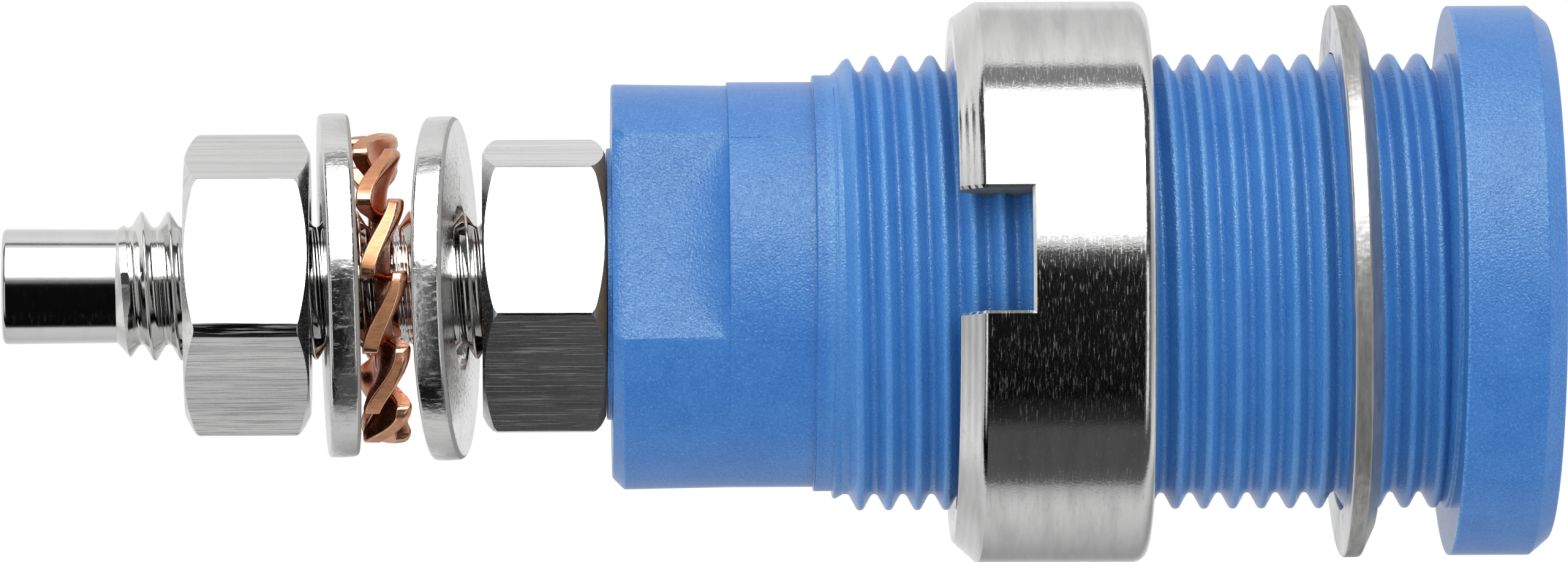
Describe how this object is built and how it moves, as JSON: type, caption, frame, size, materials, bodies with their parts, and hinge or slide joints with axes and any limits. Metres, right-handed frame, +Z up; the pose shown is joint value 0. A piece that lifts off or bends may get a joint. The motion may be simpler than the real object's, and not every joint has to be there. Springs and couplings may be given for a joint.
{
  "type": "safety banana socket",
  "caption": "Panel socket for a shrouded banana plug: blue insulating body with a threaded barrel, slotted ring nut, washer and a rear threaded stud with nuts and washers.",
  "frame": {"origin": "middle of the head's back face, where the head meets a panel", "axes": "+X along the axis towards the plug side, +Z up, -X towards the stud"},
  "size_m": [0.0403, 0.0146, 0.0146],
  "materials": {
    "blue_plastic": "matte",
    "nickel": "gloss",
    "nickel_contact": "polished",
    "copper": "satin"
  },
  "bodies": {
    "socket": {"insulating_body": "blue_plastic", "socket_contact": "nickel_contact", "inner_nut": "nickel"},
    "ring_washer": {"ring_washer": "nickel"},
    "ring_nut": {"ring_nut": "nickel"},
    "outer_washer": {"outer_washer": "nickel"},
    "outer_nut": {"outer_nut": "nickel"},
    "lock_washer": {"lock_washer": "copper"},
    "inner_washer": {"inner_washer": "nickel"}
  },
  "joints": [
    {"name": "ring_nut_turn", "type": "hinge", "parent": "socket", "child": "ring_washer", "pos_m": [0, 0, 0], "axis": [1, 0, 0], "range_deg": [-2645, 2245]},
    {"name": "ring_nut_travel", "type": "slide", "parent": "ring_washer", "child": "ring_nut", "axis": [1, 0, 0], "range_m": [-0.0055, 0.00466]},
    {"name": "outer_nut_turn", "type": "hinge", "parent": "outer_washer", "child": "outer_nut", "pos_m": [-0.0313, 0, 0], "axis": [1, 0, 0], "range_deg": [-1700, 0]},
    {"name": "outer_washer_travel", "type": "slide", "parent": "socket", "child": "outer_washer", "axis": [1, 0, 0], "range_m": [-0.0033, 0]},
    {"name": "lock_washer_travel", "type": "slide", "parent": "socket", "child": "lock_washer", "axis": [1, 0, 0], "range_m": [-0.00221, 0]},
    {"name": "inner_washer_travel", "type": "slide", "parent": "socket", "child": "inner_washer", "axis": [1, 0, 0], "range_m": [-0.00111, 0]}
  ],
  "couplings": [
    {"joint": "ring_nut_turn", "follows": "ring_nut_travel", "rad_per_m": 8377.6},
    {"joint": "outer_nut_turn", "follows": "outer_washer_travel", "rad_per_m": 8976},
    {"joint": "lock_washer_travel", "follows": "outer_washer_travel", "ratio": 0.66667},
    {"joint": "inner_washer_travel", "follows": "outer_washer_travel", "ratio": 0.33333}
  ]
}
